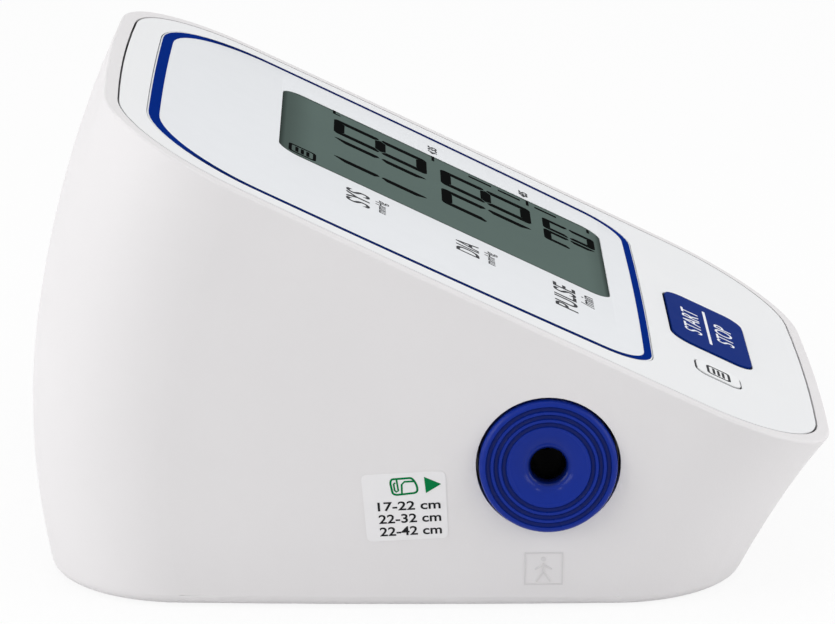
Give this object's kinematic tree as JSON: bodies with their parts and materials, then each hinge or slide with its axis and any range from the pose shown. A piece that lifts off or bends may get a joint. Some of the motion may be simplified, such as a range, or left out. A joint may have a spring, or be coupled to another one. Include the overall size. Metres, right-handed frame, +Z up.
{
  "type": "blood pressure monitor",
  "caption": "Upper-arm blood pressure monitor: white wedge casing with a sloping display face, start/stop and memory keys, a ridged air socket in its left wall and a battery door.",
  "frame": {"origin": "on the table, under the middle of the casing's box", "axes": "+Z up, the user in front at -Y, the user's right hand at +X; the air socket is at -X"},
  "size_m": [0.1034, 0.1284, 0.079],
  "materials": {
    "case_white": "satin",
    "panel_white": "satin",
    "window_print": "polished",
    "lcd_grey": "polished",
    "key_blue": "satin",
    "key_white": "satin",
    "jack_blue": "satin",
    "cover_white": "satin",
    "holder_white": "matt",
    "board_green": "solder mask",
    "switch_black": "matt",
    "plunger_black": "matt",
    "zebra_rubber": "matt",
    "screw_steel": "zinc plated",
    "cell_can": "printed sleeve",
    "contact_steel": "nickel plated",
    "nut_plastic": "matt",
    "manifold_plastic": "matt",
    "pump_plastic": "matt",
    "motor_can": "nickel plated",
    "mount_rubber": "matt",
    "valve_plastic": "matt",
    "coil_steel": "zinc plated",
    "sensor_black": "matt",
    "tube_silicone": "matt"
  },
  "bodies": {
    "case": {"case_tub": "case_white", "face_panel": "panel_white", "display_window": "window_print", "lcd_glass": "lcd_grey", "lcd_holder": "holder_white", "zebra_strips": "zebra_rubber", "main_board": "board_green", "tact_switches": "switch_black", "board_screws": "screw_steel", "case_screws": "screw_steel", "aa_cells": "cell_can", "battery_springs": "contact_steel", "battery_plates": "contact_steel", "air_jack": "jack_blue", "jack_nut": "nut_plastic", "air_manifold": "manifold_plastic", "pump_head": "pump_plastic", "pump_motor": "motor_can", "pump_mount": "mount_rubber", "valve_body": "valve_plastic", "valve_coil": "coil_steel", "pressure_sensor": "sensor_black", "tube_jack": "tube_silicone", "tube_pump": "tube_silicone", "tube_valve": "tube_silicone", "tube_sensor": "tube_silicone"},
    "start_key": {"start_stop_button": "key_blue", "start_plunger": "plunger_black"},
    "memory_key": {"memory_button": "key_white", "memory_plunger": "plunger_black"},
    "cover": {"battery_cover": "cover_white"}
  },
  "joints": [
    {"name": "start_press", "type": "slide", "parent": "case", "child": "start_key", "axis": [0, 0.4313, -0.9022], "range_m": [0, 0.0006], "stiffness_N_per_m": 3000},
    {"name": "memory_press", "type": "slide", "parent": "case", "child": "memory_key", "axis": [0, 0.4313, -0.9022], "range_m": [0, 0.0006], "stiffness_N_per_m": 2500},
    {"name": "cover_hinge", "type": "hinge", "parent": "case", "child": "cover", "pos_m": [0, -0.017, 0.0003], "axis": [-1, 0, 0], "range_deg": [0, 80]}
  ]
}
